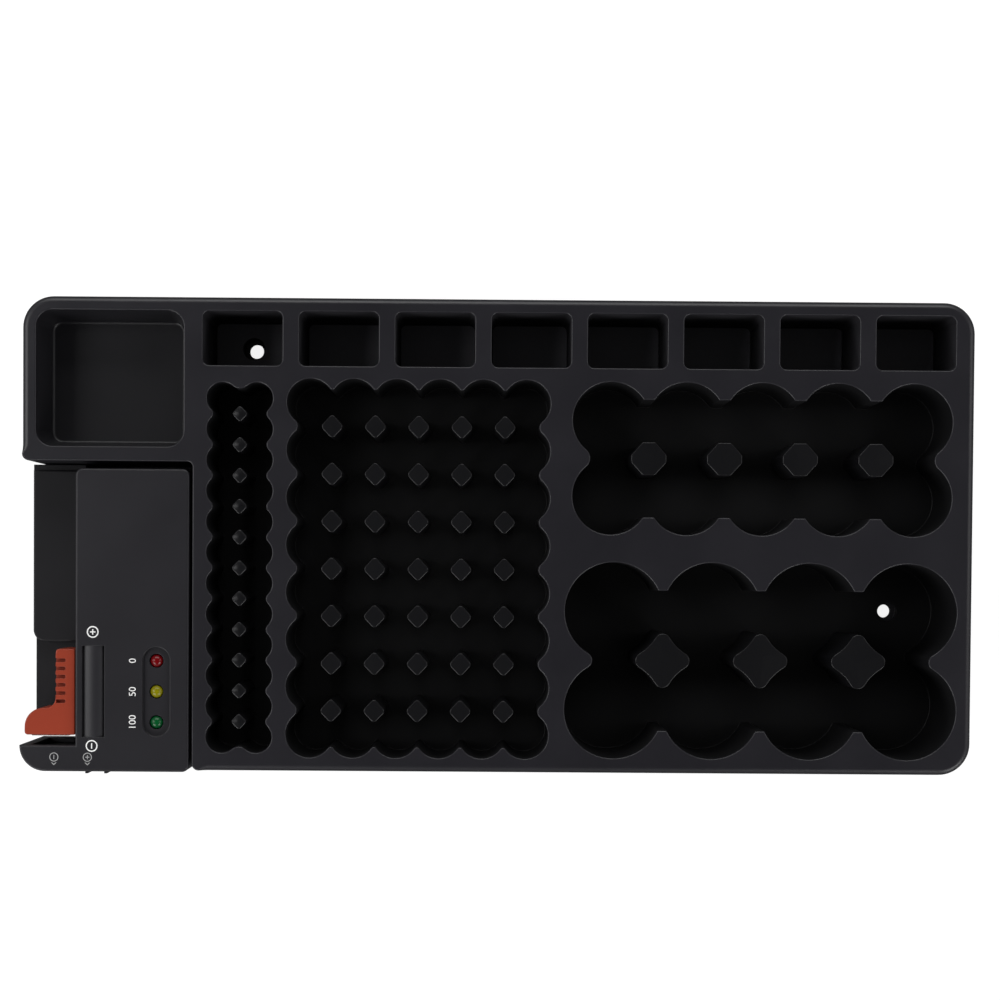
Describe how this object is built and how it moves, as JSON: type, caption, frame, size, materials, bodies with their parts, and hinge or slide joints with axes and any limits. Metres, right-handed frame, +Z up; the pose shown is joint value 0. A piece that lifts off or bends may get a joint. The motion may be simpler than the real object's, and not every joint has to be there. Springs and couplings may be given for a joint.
{
  "type": "battery storage drawer case",
  "caption": "Flat black tray with shaped wells for round, block and button cells and a lift-out tester with a spring-loaded red sliding arm.",
  "frame": {"origin": "on the surface the case lies on, under the middle of the whole case", "axes": "+X along the long side, from the tester towards the large cells; +Y towards the row of block-cell pockets; +Z up, out of the wells"},
  "size_m": [0.3358, 0.168, 0.045],
  "materials": {
    "tray_plastic": "satin black moulded plastic, fine sheen",
    "tester_plastic": "matte black moulded plastic",
    "bar_plastic": "satin black moulded plastic",
    "slider_plastic": "satin brick red moulded plastic",
    "green_lens": "tinted lens, unlit",
    "yellow_lens": "tinted lens, unlit",
    "red_lens": "tinted lens, unlit",
    "board_laminate": "coated laminate",
    "resistor_body": "lacquered",
    "chip_body": "moulded epoxy",
    "contact_metal": "nickel-plated strip",
    "spring_steel": "drawn spring wire",
    "mark_ink": "matt white pad-printed ink",
    "screw_steel": "zinc plated"
  },
  "bodies": {
    "tray": {"tray_shell": "tray_plastic", "coin_well": "tray_plastic", "nine_volt_pockets": "tray_plastic", "aaa_well": "tray_plastic", "aaa_ribs": "tray_plastic", "aaa_posts": "tray_plastic", "aa_well": "tray_plastic", "aa_ribs": "tray_plastic", "aa_posts": "tray_plastic", "c_well": "tray_plastic", "c_ribs": "tray_plastic", "c_posts": "tray_plastic", "d_well": "tray_plastic", "d_ribs": "tray_plastic", "d_posts": "tray_plastic", "screw_bosses": "tray_plastic", "tester_ledge": "tray_plastic"},
    "tester": {"front_cover": "tester_plastic", "rear_cover": "tester_plastic", "case_screws": "screw_steel", "crowned_bar": "bar_plastic", "circuit_board": "board_laminate", "green_lamp": "green_lens", "yellow_lamp": "yellow_lens", "red_lamp": "red_lens", "resistors": "resistor_body", "level_chip": "chip_body", "fixed_contact": "contact_metal", "contact_strip": "contact_metal", "snap_contacts": "contact_metal", "guide_rod": "screw_steel", "return_spring": "spring_steel", "wiper_track": "contact_metal"},
    "slider": {"slider": "slider_plastic", "slider_contact": "contact_metal", "slider_wiper": "contact_metal"}
  },
  "joints": [
    {"name": "tester_lift", "type": "slide", "parent": "tray", "child": "tester", "axis": [0, 0, 1], "range_m": [0, 0.05]},
    {"name": "slider_slide", "type": "slide", "parent": "tester", "child": "slider", "axis": [0, 1, 0], "range_m": [0, 0.058], "stiffness_N_per_m": 30, "springref_m": -0.02, "deforming": ["return_spring"]}
  ]
}
